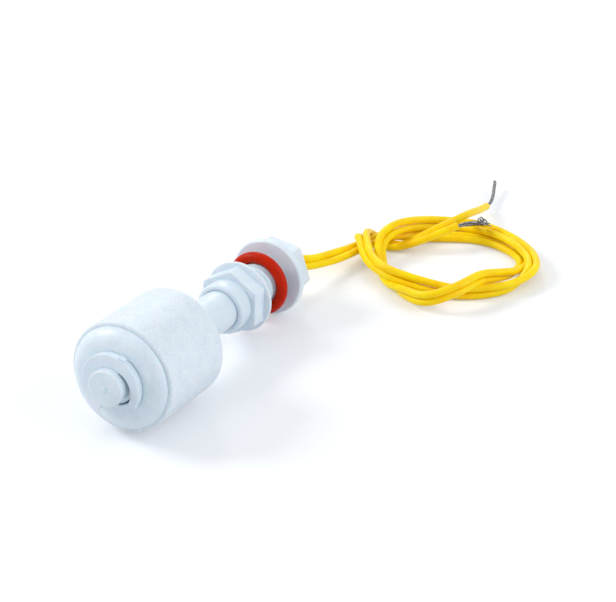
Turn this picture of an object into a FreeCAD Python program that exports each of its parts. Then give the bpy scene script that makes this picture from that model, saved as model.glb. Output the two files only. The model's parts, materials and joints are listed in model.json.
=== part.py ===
import FreeCAD, Part
import math
import os

# A small vertical float level switch, lying on its side as it comes to rest on a bench.
# A hollow float carrying a ring magnet slides along a moulded stem. A glass reed switch
# is potted inside the stem, and two single-core wires leave the hexagonal head.
#
# Every rigid piece is modelled along the switch's own axis: +X runs from the stem's tip
# to the head, and x = 0 is the tip's end face. rest() then tips the whole switch onto the
# rear rim of the float and the rear rim of the head's flange. Millimetres throughout.
#
# Angles round the axis are in degrees from +Y towards +Z.

Vector = FreeCAD.Vector
AXIS = Vector(1, 0, 0)

# ---------------------------------------------------------------- driving dimensions

# stem
STEM_RADIUS = 4.35          # plain stem; the thread's root is the same size
TIP_ROUNDING = 0.5
TIP_NUB_RADIUS = 0.5        # what is left of the moulding gate
TIP_NUB_HEIGHT = 0.25
STEM_BORE_RADIUS = 2.9      # holds the reed switch
BORE_END = 13.0             # closed end of the bore
THREAD_RADIUS = 4.75        # over the crests, which are left off these solids

# retaining clip in its groove
CLIP_FRONT = 1.8
CLIP_THICKNESS = 1.7
CLIP_RADIUS = 6.6
CLIP_RELIEF_RADIUS = 4.5    # inside of the ring, between its lugs
CLIP_MOUTH_CENTRE = 255.0
CLIP_MOUTH_ANGLE = 76.0
CLIP_BACK_LUG_ANGLE = 44.0
CLIP_HORN_LUG_ANGLE = 26.0
CLIP_EDGE = 0.25
CLIP_GATE_ANGLE = 117.0     # what is left of the clip's moulding gate
CLIP_GATE_WIDTH = 1.0
CLIP_GATE_HEIGHT = 0.3
GROOVE_RADIUS = 3.6
GROOVE_PLAY = 0.05          # clip to each wall of the groove, and to its floor

# float
FLOAT_RADIUS = 11.7
FLOAT_LENGTH = 21.9
FLOAT_WALL = 1.2
FLOAT_REAR_ROUNDING = 1.0
FLOAT_RIM_ROUNDING = 0.75
FLOAT_BORE_RADIUS = 4.8
FLOAT_TUBE_WALL = 0.9       # inner tube round the bore
FLOAT_PLAY = 0.1            # front face to the clip

# float cap, welded into the mouth of the float
CAP_RADIUS = 10.88
CAP_HEIGHT = 2.4            # from the rim of the float to the cap's front face
CAP_WALL = 1.2
CAP_SHOULDER_RADIUS = 10.1  # where the front face would meet the slope, unrounded
CAP_SHOULDER_ROUNDING = 3.0
CAP_SPIGOT_LENGTH = 2.4
CAP_FIT = 0.03              # spigot in the shell, hub on the tube, cap on the rim

# ring magnet, held between the cap's hub and a shoulder on the float's tube
MAGNET_LENGTH = 5.0
MAGNET_RADIUS = 8.6
MAGNET_FRONT = 9.0
MAGNET_FIT = 0.1
SHOULDER_LENGTH = 1.2

# lock nut: round boss, hexagon and a thin clamping flange
NUT_FRONT = 42.4
NUT_BOSS_LENGTH = 3.9
NUT_BOSS_RADIUS = 5.55
NUT_BOSS_ROUNDING = 0.6
NUT_HEX_LENGTH = 3.9
NUT_ACROSS_FLATS = 12.8
NUT_CORNER_ANGLE = 30.0
NUT_FLANGE_RADIUS = 7.85
NUT_FLANGE_LENGTH = 0.8
NUT_PLAY = 0.05             # bore to stem
NUT_LEAD_IN = 0.5
HEX_CORNER_TRIM = 0.1       # off the sharp corners of both hexagons

# sealing ring
RING_CENTRE = 58.5
RING_SECTION_RADIUS = 1.25
RING_SQUEEZE = 0.05         # how far the ring sits into the thread's crests

# head: sealing flange and hexagon, one piece with the stem
FLANGE_FRONT = 62.2
FLANGE_LENGTH = 1.9
FLANGE_RADIUS = 8.45
FLANGE_ROUNDING = 0.45
FLANGE_FILLET = 0.6
HEAD_LENGTH = 4.2
HEAD_ACROSS_FLATS = 12.6
HEAD_CORNER_ANGLE = 68.3
HEAD_CORNER_ROUNDING = 0.4
RECESS_RADIUS = 4.3         # potting recess in the head's end face
RECESS_DEPTH = 5.0

# potting plug
PLUG_SINK = 0.4             # below the head's end face
PLUG_TAIL = 5.0             # how far the resin runs down the bore
POTTING_FIT = 0.03

# reed switch
GLASS_RADIUS = 1.1
GLASS_LENGTH = 14.0
GLASS_WALL = 0.3
GLASS_SEAL = 1.6            # solid glass at each end
GLASS_CENTRE = 27.5
REED_HEIGHT = 1.35          # reed axis above the bore's axis
BLADE_WIDTH = 1.1
BLADE_THICKNESS = 0.22
BLADE_OVERLAP = 1.4
CONTACT_GAP = 0.12
LEAD_RADIUS = 0.28
LEAD_LENGTH = 4.0           # outside the glass
LEAD_FIT = 0.02
SLEEVE_WALL = 0.18
SLEEVE_OVERHANG = 1.2       # past each end of the glass
SOLDER_RADIUS = 0.65
SOLDER_LENGTH = 1.8

# wires
WIRE_RADIUS = 0.88
CORE_RADIUS = 0.35
WIRE_OFFSET = 0.96          # each wire from the axis, one above the other
STRAIGHT_EXIT = 3.5         # wire that still points along the axis

# loose coil that the two wires make together, flat on the bench
COIL_REACH = 29.3           # coil's centre from the head's end, along the bench
COIL_SIDE = -26.5
COIL_RADIUS = 17.2          # middle of the turns
COIL_WIDTH = 7.2
COIL_HEIGHT = 5.0
COIL_ROUNDING = 2.2

# ---------------------------------------------------------------- sizes that follow

NUT_REAR = NUT_FRONT + NUT_BOSS_LENGTH + NUT_HEX_LENGTH + NUT_FLANGE_LENGTH
HEX_FRONT = FLANGE_FRONT + FLANGE_LENGTH
HEAD_END = HEX_FRONT + HEAD_LENGTH
CLIP_REAR = CLIP_FRONT + CLIP_THICKNESS
FLOAT_FRONT = CLIP_REAR + FLOAT_PLAY
FLOAT_REAR = FLOAT_FRONT + FLOAT_LENGTH
SHELL_RIM = FLOAT_FRONT + CAP_HEIGHT
FLOAT_TUBE_RADIUS = FLOAT_BORE_RADIUS + FLOAT_TUBE_WALL
PLUG_END = HEAD_END - PLUG_SINK
RECESS_FLOOR = HEAD_END - RECESS_DEPTH


def resting_tilt():
    """Angle that brings the rear rims of the float and of the flange to one level."""
    across = (FLOAT_RADIUS - FLOAT_REAR_ROUNDING) - (FLANGE_RADIUS - FLANGE_ROUNDING)
    along = (FLOAT_REAR - FLOAT_REAR_ROUNDING) - (HEX_FRONT - FLANGE_ROUNDING)
    lift = FLANGE_ROUNDING - FLOAT_REAR_ROUNDING
    return math.atan2(along, across) + math.acos(lift / math.hypot(across, along))


TILT = resting_tilt()
AXIS_HEIGHT = (
    (FLOAT_RADIUS - FLOAT_REAR_ROUNDING) * math.cos(TILT)
    + (FLOAT_REAR - FLOAT_REAR_ROUNDING) * math.sin(TILT)
    + FLOAT_REAR_ROUNDING
)


# ---------------------------------------------------------------- shaping helpers

def rounded_wire(corners, to_point):
    """Closed wire through (a, b) or (a, b, rounding) corners, each rounded by a tangent arc."""
    stations = []
    count = len(corners)
    for i in range(count):
        here = Vector(corners[i][0], corners[i][1], 0)
        before = Vector(corners[i - 1][0], corners[i - 1][1], 0)
        after = Vector(corners[(i + 1) % count][0], corners[(i + 1) % count][1], 0)
        rounding = corners[i][2] if len(corners[i]) > 2 else 0.0
        if rounding <= 0:
            stations.append((here, None, here))
            continue
        back = (before - here).normalize()
        ahead = (after - here).normalize()
        half = back.getAngle(ahead) / 2
        bisector = (back + ahead).normalize()
        tangent = rounding / math.tan(half)
        nearest = here + bisector * (rounding / math.sin(half) - rounding)
        stations.append((here + back * tangent, nearest, here + ahead * tangent))
    edges = []
    for i in range(count):
        start, nearest, end = stations[i]
        if nearest is not None:
            edges.append(Part.Arc(to_point(start), to_point(nearest), to_point(end)).toShape())
        following = stations[(i + 1) % count][0]
        if (following - end).Length > 1e-6:
            edges.append(Part.LineSegment(to_point(end), to_point(following)).toShape())
    return Part.Wire(edges)


def lathe(corners):
    """Solid turned about the X axis from (x, radius, rounding) corners."""
    wire = rounded_wire(corners, lambda p: Vector(p.x, 0, p.y))
    return Part.Face(wire).revolve(Vector(0, 0, 0), AXIS, 360)


def rod(start, end, radius, y=0.0, z=0.0):
    return Part.makeCylinder(radius, end - start, Vector(start, y, z), AXIS)


def hexagon(start, length, across_flats, corner_angle):
    """Hexagonal prism along X with one corner at corner_angle."""
    corner_radius = across_flats / math.sqrt(3)
    corners = []
    for k in range(6):
        angle = math.radians(corner_angle + 60 * k)
        corners.append(Vector(start, corner_radius * math.cos(angle), corner_radius * math.sin(angle)))
    outline = Part.makePolygon(corners + corners[:1])
    return Part.Face(outline).extrude(AXIS * length)


def sector(start, end, radius, first_angle, last_angle):
    """Wedge about the X axis between two angles."""
    wedge = Part.makeCylinder(radius, end - start, Vector(0, 0, 0), Vector(0, 0, 1), last_angle - first_angle)
    # cylinder angles run from X in the XY plane: stand it up so that they run from Y to Z
    stand_up = FreeCAD.Matrix(0, 0, 1, start, 1, 0, 0, 0, 0, 1, 0, 0, 0, 0, 0, 1)
    wedge.rotate(Vector(0, 0, 0), Vector(0, 0, 1), first_angle)
    return wedge.transformGeometry(stand_up)


def rest(shape):
    """Tips a piece with the whole switch and sets it on the bench."""
    placed = shape.copy()
    placed.rotate(Vector(0, 0, 0), Vector(0, 1, 0), math.degrees(TILT))
    placed.translate(Vector(0, 0, AXIS_HEIGHT))
    return placed


def at_rest(x, y, z):
    """Where a point of the switch's own axes lies once the switch is at rest."""
    return Vector(
        x * math.cos(TILT) + z * math.sin(TILT),
        y,
        AXIS_HEIGHT - x * math.sin(TILT) + z * math.cos(TILT),
    )


# ---------------------------------------------------------------- rigid pieces

def stem_body():
    groove_front = CLIP_FRONT - GROOVE_PLAY
    groove_rear = CLIP_REAR + GROOVE_PLAY
    turned = lathe([
        (0, 0),
        (0, STEM_RADIUS, TIP_ROUNDING),
        (groove_front, STEM_RADIUS),
        (groove_front, GROOVE_RADIUS),
        (groove_rear, GROOVE_RADIUS),
        (groove_rear, STEM_RADIUS),
        (FLANGE_FRONT, STEM_RADIUS, FLANGE_FILLET),
        (FLANGE_FRONT, FLANGE_RADIUS, FLANGE_ROUNDING),
        (HEX_FRONT, FLANGE_RADIUS, FLANGE_ROUNDING),
        (HEX_FRONT, 0),
    ])
    corner_radius = HEAD_ACROSS_FLATS / math.sqrt(3) - HEX_CORNER_TRIM
    trim = lathe([
        (HEX_FRONT, 0),
        (HEX_FRONT, corner_radius),
        (HEAD_END, corner_radius, HEAD_CORNER_ROUNDING),
        (HEAD_END, 0),
    ])
    head = hexagon(HEX_FRONT, HEAD_LENGTH, HEAD_ACROSS_FLATS, HEAD_CORNER_ANGLE).common(trim)
    nub = lathe([
        (-TIP_NUB_HEIGHT, 0),
        (-TIP_NUB_HEIGHT, TIP_NUB_RADIUS, TIP_NUB_HEIGHT / 2),
        (TIP_ROUNDING, TIP_NUB_RADIUS),
        (TIP_ROUNDING, 0),
    ])
    bore = lathe([
        (BORE_END, 0),
        (BORE_END, STEM_BORE_RADIUS, STEM_BORE_RADIUS / 3),
        (RECESS_FLOOR, STEM_BORE_RADIUS),
        (RECESS_FLOOR, RECESS_RADIUS),
        (HEAD_END, RECESS_RADIUS),
        (HEAD_END, 0),
    ])
    return turned.fuse([head, nub]).cut(bore).removeSplitter()


def retaining_clip():
    """Open ring with three lugs that reach into the groove: two horns and one at its back."""
    inner = GROOVE_RADIUS + GROOVE_PLAY
    ring = lathe([
        (CLIP_FRONT, inner),
        (CLIP_FRONT, CLIP_RADIUS, CLIP_EDGE),
        (CLIP_REAR, CLIP_RADIUS, CLIP_EDGE),
        (CLIP_REAR, inner),
    ])
    mouth_start = CLIP_MOUTH_CENTRE - CLIP_MOUTH_ANGLE / 2
    mouth_end = CLIP_MOUTH_CENTRE + CLIP_MOUTH_ANGLE / 2
    back = CLIP_MOUTH_CENTRE - 180
    horn_start = mouth_start - CLIP_HORN_LUG_ANGLE
    horn_end = mouth_end + CLIP_HORN_LUG_ANGLE
    near = CLIP_FRONT - 1
    far = CLIP_REAR + 1
    mouth = sector(near, far, 2 * CLIP_RADIUS, mouth_start, mouth_end)
    relief_one = sector(near, far, CLIP_RELIEF_RADIUS, horn_end - 360, back - CLIP_BACK_LUG_ANGLE / 2)
    relief_two = sector(near, far, CLIP_RELIEF_RADIUS, back + CLIP_BACK_LUG_ANGLE / 2, horn_start)
    gate = Part.makeBox(
        CLIP_THICKNESS - 2 * CLIP_EDGE, CLIP_GATE_WIDTH, CLIP_EDGE + CLIP_GATE_HEIGHT,
        Vector(CLIP_FRONT + CLIP_EDGE, -CLIP_GATE_WIDTH / 2, CLIP_RADIUS - CLIP_EDGE),
    )
    gate.rotate(Vector(0, 0, 0), AXIS, CLIP_GATE_ANGLE - 90)
    return ring.cut([mouth, relief_one, relief_two]).fuse(gate).removeSplitter()


def float_shell():
    tube_front = FLOAT_FRONT + CAP_WALL + CAP_FIT
    shoulder_front = MAGNET_FRONT + MAGNET_LENGTH + MAGNET_FIT
    shoulder_radius = (FLOAT_TUBE_RADIUS + MAGNET_RADIUS) / 2
    inner_radius = FLOAT_RADIUS - FLOAT_WALL
    return lathe([
        (tube_front, FLOAT_BORE_RADIUS),
        (tube_front, FLOAT_TUBE_RADIUS),
        (shoulder_front, FLOAT_TUBE_RADIUS),
        (shoulder_front, shoulder_radius),
        (shoulder_front + SHOULDER_LENGTH, shoulder_radius),
        (shoulder_front + SHOULDER_LENGTH, FLOAT_TUBE_RADIUS),
        (FLOAT_REAR - FLOAT_WALL, FLOAT_TUBE_RADIUS),
        (FLOAT_REAR - FLOAT_WALL, inner_radius, FLOAT_REAR_ROUNDING / 2),
        (SHELL_RIM, inner_radius),
        (SHELL_RIM, FLOAT_RADIUS, FLOAT_RIM_ROUNDING),
        (FLOAT_REAR, FLOAT_RADIUS, FLOAT_REAR_ROUNDING),
        (FLOAT_REAR, FLOAT_BORE_RADIUS, FLOAT_WALL / 4),
    ])


def float_cap():
    spigot_radius = FLOAT_RADIUS - FLOAT_WALL - CAP_FIT
    spigot_end = SHELL_RIM + CAP_SPIGOT_LENGTH
    hub_inner = FLOAT_TUBE_RADIUS + CAP_FIT
    hub_outer = hub_inner + CAP_WALL
    hub_end = MAGNET_FRONT - MAGNET_FIT
    seat = SHELL_RIM - CAP_FIT
    under = FLOAT_FRONT + CAP_WALL
    return lathe([
        (FLOAT_FRONT, FLOAT_BORE_RADIUS),
        (FLOAT_FRONT, CAP_SHOULDER_RADIUS, CAP_SHOULDER_ROUNDING),
        (seat, CAP_RADIUS),
        (seat, spigot_radius),
        (spigot_end, spigot_radius),
        (spigot_end, spigot_radius - CAP_WALL),
        (under, spigot_radius - CAP_WALL, CAP_WALL),
        (under, hub_outer),
        (hub_end, hub_outer),
        (hub_end, hub_inner),
        (under, hub_inner),
        (under, FLOAT_BORE_RADIUS),
    ])


def float_magnet():
    inner = FLOAT_TUBE_RADIUS + MAGNET_FIT
    end = MAGNET_FRONT + MAGNET_LENGTH
    return lathe([
        (MAGNET_FRONT, inner),
        (MAGNET_FRONT, MAGNET_RADIUS, MAGNET_FIT),
        (end, MAGNET_RADIUS, MAGNET_FIT),
        (end, inner),
    ])


def lock_nut():
    hex_front = NUT_FRONT + NUT_BOSS_LENGTH
    hex_end = hex_front + NUT_HEX_LENGTH
    flat_radius = NUT_ACROSS_FLATS / 2
    corner_radius = NUT_ACROSS_FLATS / math.sqrt(3) - HEX_CORNER_TRIM
    boss = lathe([
        (NUT_FRONT, 0),
        (NUT_FRONT, NUT_BOSS_RADIUS, NUT_BOSS_ROUNDING),
        (hex_front + NUT_HEX_LENGTH / 2, NUT_BOSS_RADIUS),
        (hex_front + NUT_HEX_LENGTH / 2, 0),
    ])
    trim = lathe([
        (hex_front, 0),
        (hex_front, corner_radius, corner_radius - flat_radius + HEX_CORNER_TRIM),
        (hex_end, corner_radius),
        (hex_end, 0),
    ])
    flats = hexagon(hex_front, NUT_HEX_LENGTH, NUT_ACROSS_FLATS, NUT_CORNER_ANGLE).common(trim)
    flange = lathe([
        (hex_end, 0),
        (hex_end, NUT_FLANGE_RADIUS, NUT_FLANGE_LENGTH / 3),
        (NUT_REAR, NUT_FLANGE_RADIUS, NUT_FLANGE_LENGTH / 3),
        (NUT_REAR, 0),
    ])
    bore_radius = STEM_RADIUS + NUT_PLAY
    bore = lathe([
        (NUT_FRONT, 0),
        (NUT_FRONT, bore_radius + NUT_LEAD_IN / 2),
        (NUT_FRONT + NUT_LEAD_IN / 2, bore_radius),
        (NUT_REAR - NUT_LEAD_IN, bore_radius),
        (NUT_REAR, bore_radius + NUT_LEAD_IN),
        (NUT_REAR, 0),
    ])
    return boss.fuse([flats, flange]).cut(bore).removeSplitter()


def sealing_ring():
    middle = THREAD_RADIUS - RING_SQUEEZE + RING_SECTION_RADIUS
    return Part.makeTorus(middle, RING_SECTION_RADIUS, Vector(RING_CENTRE, 0, 0), AXIS)


def potting_plug():
    """Resin in the recess and in the first part of the bore, cast round both wires."""
    plug = lathe([
        (RECESS_FLOOR - PLUG_TAIL, 0),
        (RECESS_FLOOR - PLUG_TAIL, STEM_BORE_RADIUS - POTTING_FIT),
        (RECESS_FLOOR + POTTING_FIT, STEM_BORE_RADIUS - POTTING_FIT),
        (RECESS_FLOOR + POTTING_FIT, RECESS_RADIUS - POTTING_FIT),
        (PLUG_END, RECESS_RADIUS - POTTING_FIT),
        (PLUG_END, 0),
    ])
    holes = []
    for side in (1, -1):
        hole_start = RECESS_FLOOR - PLUG_TAIL - 1
        holes.append(rod(hole_start, PLUG_END + 1, WIRE_RADIUS + LEAD_FIT, z=side * WIRE_OFFSET))
    return plug.cut(holes)


# ---------------------------------------------------------------- reed switch

GLASS_FRONT = GLASS_CENTRE - GLASS_LENGTH / 2
GLASS_REAR = GLASS_CENTRE + GLASS_LENGTH / 2
FRONT_JOINT = GLASS_FRONT - LEAD_LENGTH
REAR_JOINT = GLASS_REAR + LEAD_LENGTH


def reed_blade(lead_end, root, tip, height):
    """Round lead that is pressed flat inside the glass; height is the blade's own offset."""
    lead = rod(min(lead_end, root), max(lead_end, root), LEAD_RADIUS, z=REED_HEIGHT)
    blade_length = abs(tip - root) + LEAD_RADIUS
    start = min(tip, root - LEAD_RADIUS if tip > root else tip)
    blade = Part.makeBox(
        blade_length,
        BLADE_WIDTH,
        BLADE_THICKNESS,
        Vector(start, -BLADE_WIDTH / 2, REED_HEIGHT + height - BLADE_THICKNESS / 2),
    )
    return lead.fuse(blade).removeSplitter()


def reed_blades():
    lift = (BLADE_THICKNESS + CONTACT_GAP) / 2
    front = reed_blade(FRONT_JOINT, GLASS_FRONT + GLASS_SEAL + LEAD_RADIUS, GLASS_CENTRE + BLADE_OVERLAP / 2, -lift)
    rear = reed_blade(REAR_JOINT, GLASS_REAR - GLASS_SEAL - LEAD_RADIUS, GLASS_CENTRE - BLADE_OVERLAP / 2, lift)
    return front, rear


def reed_glass_tube():
    """Sealed glass capsule with a solid bead round each lead."""
    outside = lathe([
        (GLASS_FRONT, 0),
        (GLASS_FRONT, GLASS_RADIUS, GLASS_RADIUS * 0.6),
        (GLASS_REAR, GLASS_RADIUS, GLASS_RADIUS * 0.6),
        (GLASS_REAR, 0),
    ])
    cavity_radius = GLASS_RADIUS - GLASS_WALL
    cavity = lathe([
        (GLASS_FRONT + GLASS_SEAL, 0),
        (GLASS_FRONT + GLASS_SEAL, cavity_radius, cavity_radius / 2),
        (GLASS_REAR - GLASS_SEAL, cavity_radius, cavity_radius / 2),
        (GLASS_REAR - GLASS_SEAL, 0),
    ])
    leads = rod(GLASS_FRONT - 1, GLASS_REAR + 1, LEAD_RADIUS + LEAD_FIT)
    glass = outside.cut([cavity, leads])
    glass.translate(Vector(0, 0, REED_HEIGHT))
    return glass


def reed_sleeve():
    """Thin sleeve shrunk over the capsule."""
    inner = GLASS_RADIUS + LEAD_FIT
    start = GLASS_FRONT - SLEEVE_OVERHANG
    end = GLASS_REAR + SLEEVE_OVERHANG
    sleeve = rod(start, end, inner + SLEEVE_WALL).cut(rod(start - 1, end + 1, inner))
    sleeve.translate(Vector(0, 0, REED_HEIGHT))
    return sleeve


def solder_joint(joint, wire_height):
    """Solder bead that bridges a reed lead and the bare end of a wire."""
    start = joint - SOLDER_LENGTH / 2
    low = Part.makeCylinder(SOLDER_RADIUS, SOLDER_LENGTH, Vector(start, 0, wire_height), AXIS)
    high = Part.makeCylinder(SOLDER_RADIUS, SOLDER_LENGTH, Vector(start, 0, REED_HEIGHT), AXIS)
    web = Part.makeBox(
        SOLDER_LENGTH,
        2 * SOLDER_RADIUS,
        REED_HEIGHT - wire_height,
        Vector(start, -SOLDER_RADIUS, wire_height),
    )
    bead = low.fuse([high, web]).removeSplitter()
    bead = bead.makeFillet(SOLDER_RADIUS / 2, bead.Edges)
    lead = rod(FRONT_JOINT, REAR_JOINT, LEAD_RADIUS + LEAD_FIT, z=REED_HEIGHT)
    core = rod(joint, PLUG_END, CORE_RADIUS + LEAD_FIT, z=wire_height)
    return bead.cut([lead, core])


def inner_wire(joint, wire_height):
    """Wire inside the stem: bare core in the solder, then insulation up to the head's end."""
    core = rod(joint, joint + SOLDER_LENGTH, CORE_RADIUS, z=wire_height)
    insulation = rod(joint + SOLDER_LENGTH, PLUG_END, WIRE_RADIUS, z=wire_height)
    return core.fuse(insulation).removeSplitter()


# ---------------------------------------------------------------- wires outside the head

def wire_exit(side):
    """Point on the resin's face where a wire leaves; side is 1 for the upper, -1 for the lower."""
    return at_rest(PLUG_END, 0, side * WIRE_OFFSET)


def straight_point(side):
    return at_rest(HEAD_END + STRAIGHT_EXIT, 0, side * WIRE_OFFSET)


def from_head(points):
    """Route points counted from below the middle of the head's end face, on the bench."""
    foot = at_rest(HEAD_END, 0, 0)
    return [Vector(foot.x + x, y, z) for x, y, z in points]


# Route points outside the head: along the bench from the head, sideways, and up.
UPPER_LEAD = [(9.4, -1.5, 6.6), (13.8, -2.3, 5.4), (18.6, -3.0, 4.2), (23.3, -4.1, 3.1),
              (28.2, -6.0, 2.6)]
LOWER_LEAD = [(9.2, -1.7, 4.7), (13.6, -3.1, 3.6), (18.1, -4.6, 3.1), (22.9, -6.0, 2.6),
              (27.2, -8.0, 2.5)]
UPPER_END = [(33.4, -8.7, 1.8), (35.6, -13.4, 3.2), (37.8, -18.4, 5.3), (42.0, -22.4, 6.5),
             (48.5, -23.3, 5.3), (54.8, -22.8, 3.1), (60.7, -22.1, 2.0)]
LOWER_END = [(31.6, -9.7, 1.0), (33.2, -14.0, 2.4), (35.4, -19.0, 4.4), (40.8, -23.6, 5.9)]
UPPER_STRANDS = [(60.7, -22.1, 2.0), (64.6, -21.6, 1.3), (72.8, -18.6, 2.2)]
LOWER_STRANDS = [(40.8, -23.6, 5.9), (43.4, -25.8, 6.6), (46.9, -28.3, 6.0)]
STRANDS_RADIUS = 0.42


def tube(name, points, radius):
    """Round tube along straight runs joined by tangent arcs as large as the runs allow."""
    edges = []
    reached = points[0]
    radii = []
    for i in range(1, len(points) - 1):
        back = points[i - 1] - points[i]
        ahead = points[i + 1] - points[i]
        shorter = min(back.Length, ahead.Length)
        half_turn = (math.pi - back.getAngle(ahead)) / 2
        setback = 0.45 * shorter
        arc_radius = setback / math.tan(half_turn)
        radii.append(round(arc_radius, 1))
        back.normalize()
        ahead.normalize()
        start = points[i] + back * setback
        end = points[i] + ahead * setback
        towards_centre = (back + ahead).normalize()
        middle = points[i] + towards_centre * (arc_radius / math.cos(half_turn) - arc_radius)
        edges.append(Part.LineSegment(reached, start).toShape())
        edges.append(Part.Arc(start, middle, end).toShape())
        reached = end
    edges.append(Part.LineSegment(reached, points[-1]).toShape())
    path = Part.Wire(edges)
    first_run = points[1] - points[0]
    section = Part.Wire([Part.Circle(points[0], first_run, radius).toShape()])
    solid = path.makePipeShell([section], True, False)
    expected = path.Length * math.pi * radius ** 2
    print(name, "length", round(path.Length, 1), "arc radii", radii, "volume ratio", round(solid.Volume / expected, 4))
    return solid


def wire_coil():
    """Outer shape of the loose coil: a low ring with rounded edges, flat on the bench."""
    inner = COIL_RADIUS - COIL_WIDTH / 2
    outer = COIL_RADIUS + COIL_WIDTH / 2
    section = rounded_wire([
        (inner, 0, COIL_ROUNDING / 2),
        (outer, 0, COIL_ROUNDING / 2),
        (outer, COIL_HEIGHT, COIL_ROUNDING),
        (inner, COIL_HEIGHT, COIL_ROUNDING),
    ], lambda p: Vector(p.x, 0, p.y))
    ring = Part.Face(section).revolve(Vector(0, 0, 0), Vector(0, 0, 1), 360)
    ring.translate(Vector(at_rest(HEAD_END, 0, 0).x + COIL_REACH, COIL_SIDE, 0))
    return ring


def loose_wires():
    coil = wire_coil()
    upper_lead = tube("wire_upper_lead", [wire_exit(1), straight_point(1)] + from_head(UPPER_LEAD), WIRE_RADIUS)
    lower_lead = tube("wire_lower_lead", [wire_exit(-1), straight_point(-1)] + from_head(LOWER_LEAD), WIRE_RADIUS)
    upper_end = tube("wire_upper_end", from_head(UPPER_END), WIRE_RADIUS)
    lower_end = tube("wire_lower_end", from_head(LOWER_END), WIRE_RADIUS)
    return {
        "wire_coil": coil,
        "wire_upper_lead": upper_lead.cut(coil),
        "wire_lower_lead": lower_lead.cut(coil),
        "wire_upper_end": upper_end.cut(coil),
        "wire_lower_end": lower_end.cut(coil),
        "strands_upper": tube("strands_upper", from_head(UPPER_STRANDS), STRANDS_RADIUS),
        "strands_lower": tube("strands_lower", from_head(LOWER_STRANDS), STRANDS_RADIUS),
    }


# ---------------------------------------------------------------- whole switch

def rigid_pieces():
    blade_front, blade_rear = reed_blades()
    return {
        "stem_body": stem_body(),
        "retaining_clip": retaining_clip(),
        "float_shell": float_shell(),
        "float_cap": float_cap(),
        "float_magnet": float_magnet(),
        "lock_nut": lock_nut(),
        "sealing_ring": sealing_ring(),
        "potting_plug": potting_plug(),
        "reed_glass_tube": reed_glass_tube(),
        "reed_blade_front": blade_front,
        "reed_blade_rear": blade_rear,
        "reed_sleeve": reed_sleeve(),
        "solder_joint_front": solder_joint(FRONT_JOINT, -WIRE_OFFSET),
        "solder_joint_rear": solder_joint(REAR_JOINT, WIRE_OFFSET),
        "return_wire_inner": inner_wire(FRONT_JOINT, -WIRE_OFFSET),
        "short_wire_inner": inner_wire(REAR_JOINT, WIRE_OFFSET),
    }


def main():
    os.makedirs("parts", exist_ok=True)
    switch = {name: rest(shape) for name, shape in rigid_pieces().items()}
    outline = Part.makeCompound(list(switch.values())).optimalBoundingBox(False)
    to_origin = Vector(-(outline.XMin + outline.XMax) / 2, 0, 0)
    pieces = {**switch, **loose_wires()}
    for name, shape in pieces.items():
        shape.translate(to_origin)
        solids = len(shape.Solids)
        print(name, "solids", solids, "volume", round(shape.Volume, 2), "valid", shape.isValid())
        shape.exportStep(f"parts/{name}.step")
    print("tilt", round(math.degrees(TILT), 3), "axis height", round(AXIS_HEIGHT, 3), "shift", round(to_origin.x, 3))
    for label, x in (("flange front", FLANGE_FRONT), ("head end", HEAD_END), ("resin face", PLUG_END)):
        place = at_rest(x, 0, 0) + to_origin
        print(label, round(place.x, 3), round(place.y, 3), round(place.z, 3))


main()
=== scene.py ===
"""Looks of a small float level switch that lies on a bench with its two wires loosely coiled.

Every rigid piece is shaped along the switch's own axis and then set into the frame: x runs from
the stem's tip towards the head, and x = 0 is the sealing face of the head's flange.
"""

import json
import math

import bmesh
import bpy
from bpy.props import FloatProperty, FloatVectorProperty, PointerProperty
from mathutils import Matrix, Vector


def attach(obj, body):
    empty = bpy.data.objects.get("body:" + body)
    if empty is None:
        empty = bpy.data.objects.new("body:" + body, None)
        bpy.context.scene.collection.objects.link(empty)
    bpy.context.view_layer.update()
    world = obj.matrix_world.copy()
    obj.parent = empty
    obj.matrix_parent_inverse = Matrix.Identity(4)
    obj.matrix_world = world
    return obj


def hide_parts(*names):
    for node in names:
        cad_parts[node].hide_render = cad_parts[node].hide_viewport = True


bl_info = {
    "name": "Float level switch",
    "version": (1, 0, 0),
    "blender": (4, 5, 0),
    "location": "View3D > Sidebar > Float switch",
    "description": "Dresses the packed float level switch with its pieces, finishes and stage",
    "category": "Object",
}

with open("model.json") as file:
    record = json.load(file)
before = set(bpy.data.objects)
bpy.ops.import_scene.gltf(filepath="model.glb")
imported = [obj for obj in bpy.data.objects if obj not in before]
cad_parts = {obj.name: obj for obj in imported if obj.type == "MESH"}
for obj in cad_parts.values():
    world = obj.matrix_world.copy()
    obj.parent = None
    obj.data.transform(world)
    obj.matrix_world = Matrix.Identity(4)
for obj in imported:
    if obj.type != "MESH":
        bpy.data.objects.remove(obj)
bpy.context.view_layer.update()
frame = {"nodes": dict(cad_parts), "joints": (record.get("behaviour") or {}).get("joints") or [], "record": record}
MM = 0.001
TURN_STEPS = 128


# ---------------------------------------------------------------- the switch's own axes

def switch_axes():
    """Matrix from the switch's own axes to the frame."""
    seat = next(m for m in frame["record"]["mounts"] if m["name"] == "tank_wall")
    slide = next(j for j in frame["joints"] if j["name"] == "float_slide")
    along = Vector(slide["axis"]).normalized()
    across = Vector((0.0, 1.0, 0.0))
    turn = Matrix((along, across, along.cross(across))).transposed()
    return Matrix.Translation(seat["pos_m"]) @ turn.to_4x4()


SWITCH = switch_axes()
TO_SWITCH = SWITCH.inverted()


def measured(node):
    """Front, rear and largest radius of a CAD node along the switch's own axis."""
    points = [TO_SWITCH @ v.co for v in frame["nodes"][node].data.vertices]
    along = [p.x for p in points]
    return min(along), max(along), max(math.hypot(p.y, p.z) for p in points)


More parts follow.
